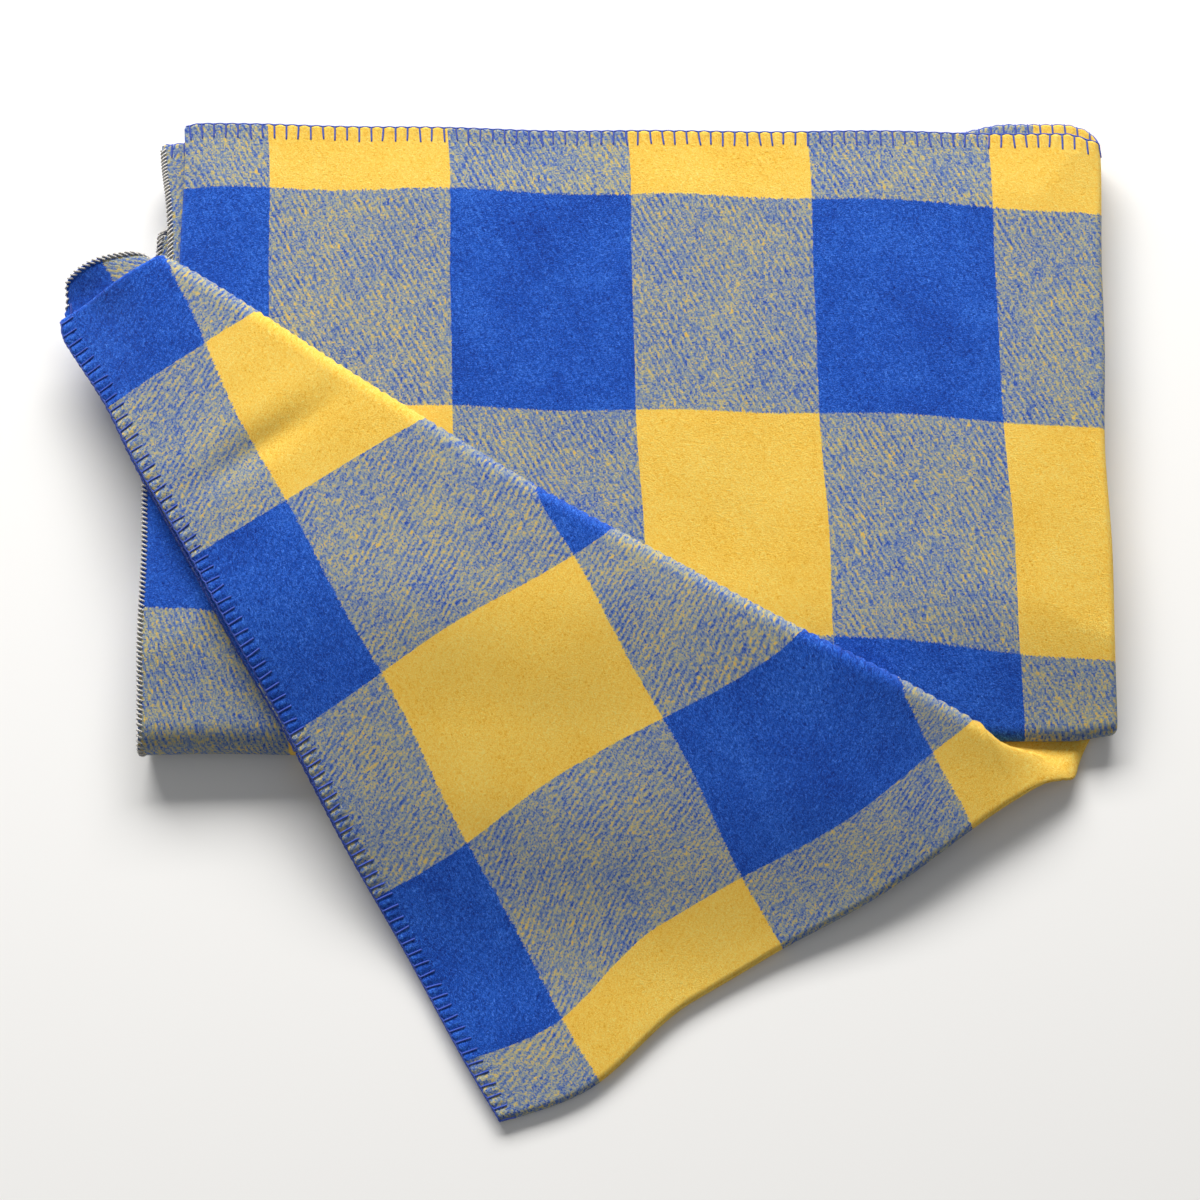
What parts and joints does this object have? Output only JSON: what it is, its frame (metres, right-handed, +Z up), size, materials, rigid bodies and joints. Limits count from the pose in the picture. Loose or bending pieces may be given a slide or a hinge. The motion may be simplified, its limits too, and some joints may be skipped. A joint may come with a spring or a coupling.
{
  "type": "camp blanket",
  "caption": "Checked wool camp blanket folded into a flat rectangular stack, with one corner of the top panel turned back over the front.",
  "frame": {"origin": "on the ground, under the middle of the folded blanket's box", "axes": "+Z up; +Y from the front fold, which the turned corner hangs over, towards the stitched end at the back; +X towards the right fold of the stack"},
  "size_m": [0.6984, 0.6602, 0.0509],
  "materials": {
    "cloth": "napped wool twill in a blue and golden yellow buffalo check",
    "thread": "violet-blue wool yarn"
  },
  "bodies": {
    "stack": {"lower_panel": "cloth", "middle_panel": "cloth", "upper_panel": "cloth", "top_panel": "cloth", "back_fold": "cloth", "inner_front_fold": "cloth", "outer_front_fold": "cloth", "end_stitching_upper": "thread", "side_overlock_lower": "thread", "side_overlock_middle": "thread", "side_overlock_upper": "thread", "side_overlock_top": "thread", "tucked_overlock_lower": "thread", "tucked_overlock_middle": "thread", "tucked_overlock_upper": "thread"},
    "flap": {"corner_flap": "cloth", "end_stitching_flap": "thread", "side_overlock_flap": "thread"},
    "tail": {"flap_tail": "cloth", "end_stitching_tail": "thread"}
  },
  "joints": [
    {"name": "corner_fold", "type": "hinge", "parent": "stack", "child": "flap", "pos_m": [0.2652, -0.0984, 0.03945], "axis": [-0.8634, 0.5045, 0], "range_deg": [0, 176]},
    {"name": "drape_fold", "type": "hinge", "parent": "flap", "child": "tail", "pos_m": [0.05, -0.0984, 0.0396], "axis": [-1, 0, 0], "range_deg": [0, 9.69]}
  ],
  "couplings": [
    {"joint": "drape_fold", "follows": "corner_fold", "ratio": 0.055}
  ]
}
